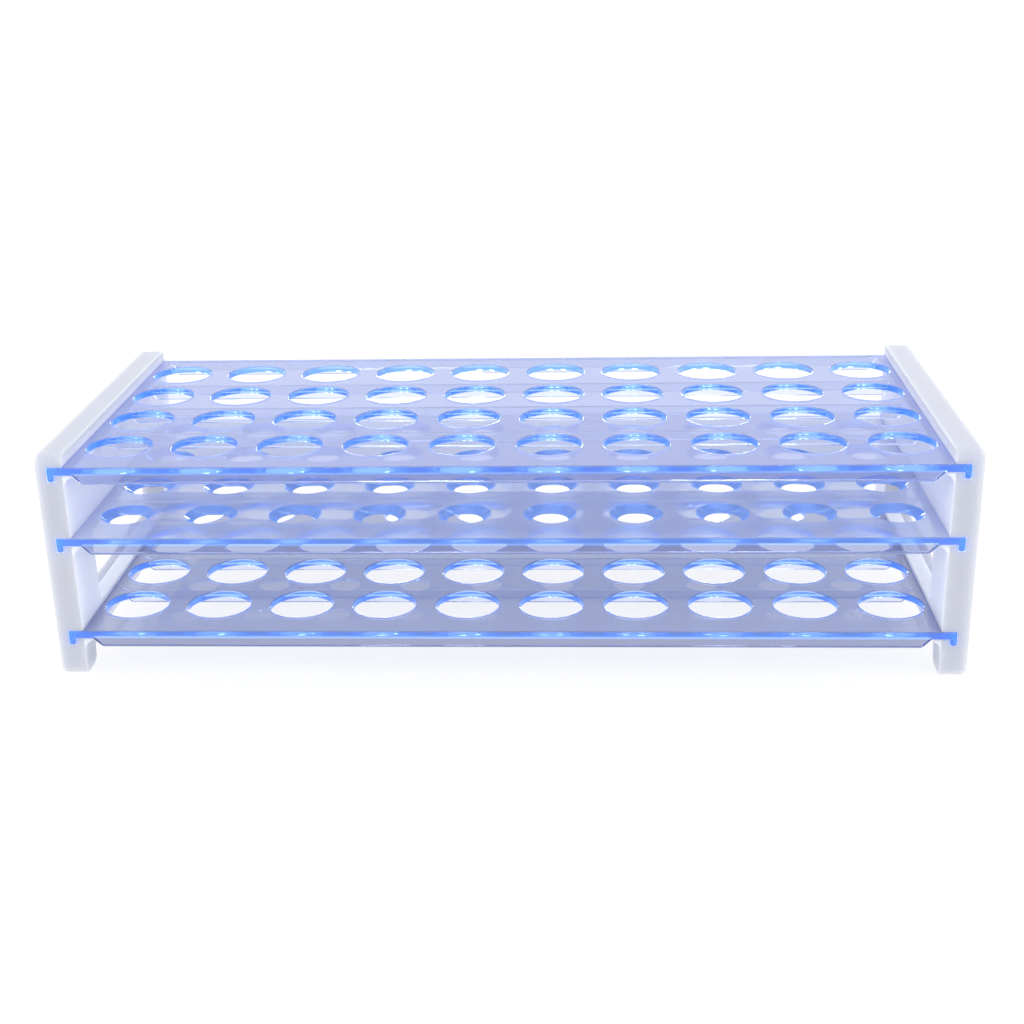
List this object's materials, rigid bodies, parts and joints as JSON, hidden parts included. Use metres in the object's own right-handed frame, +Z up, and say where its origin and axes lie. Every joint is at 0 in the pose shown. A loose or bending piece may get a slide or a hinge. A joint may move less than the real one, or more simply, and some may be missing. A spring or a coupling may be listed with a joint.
{
  "type": "test tube rack",
  "caption": "Take-apart test tube rack with white end panels and three clear slide-in shelves of round holes.",
  "frame": {"origin": "on the ground, at the centre of the rack's footprint and of the grid of holes", "axes": "+X along the rack's length to the right end panel, +Y to the back, +Z up"},
  "size_m": [0.245, 0.106, 0.0632],
  "materials": {
    "white_plastic": "fine satin moulded surface",
    "clear_plastic": "polished, clear with a blue-violet tint that deepens at the edges"
  },
  "bodies": {
    "end_panels": {"left_end_panel": "white_plastic", "right_end_panel": "white_plastic"},
    "top_shelf": {"top_shelf": "clear_plastic"},
    "middle_shelf": {"middle_shelf": "clear_plastic"},
    "bottom_shelf": {"bottom_shelf": "clear_plastic"}
  },
  "joints": [
    {"name": "top_shelf_slide", "type": "slide", "parent": "end_panels", "child": "top_shelf", "axis": [0, -1, 0], "range_m": [0, 0.11]},
    {"name": "middle_shelf_slide", "type": "slide", "parent": "end_panels", "child": "middle_shelf", "axis": [0, -1, 0], "range_m": [0, 0.11]},
    {"name": "bottom_shelf_slide", "type": "slide", "parent": "end_panels", "child": "bottom_shelf", "axis": [0, -1, 0], "range_m": [0, 0.11]}
  ]
}
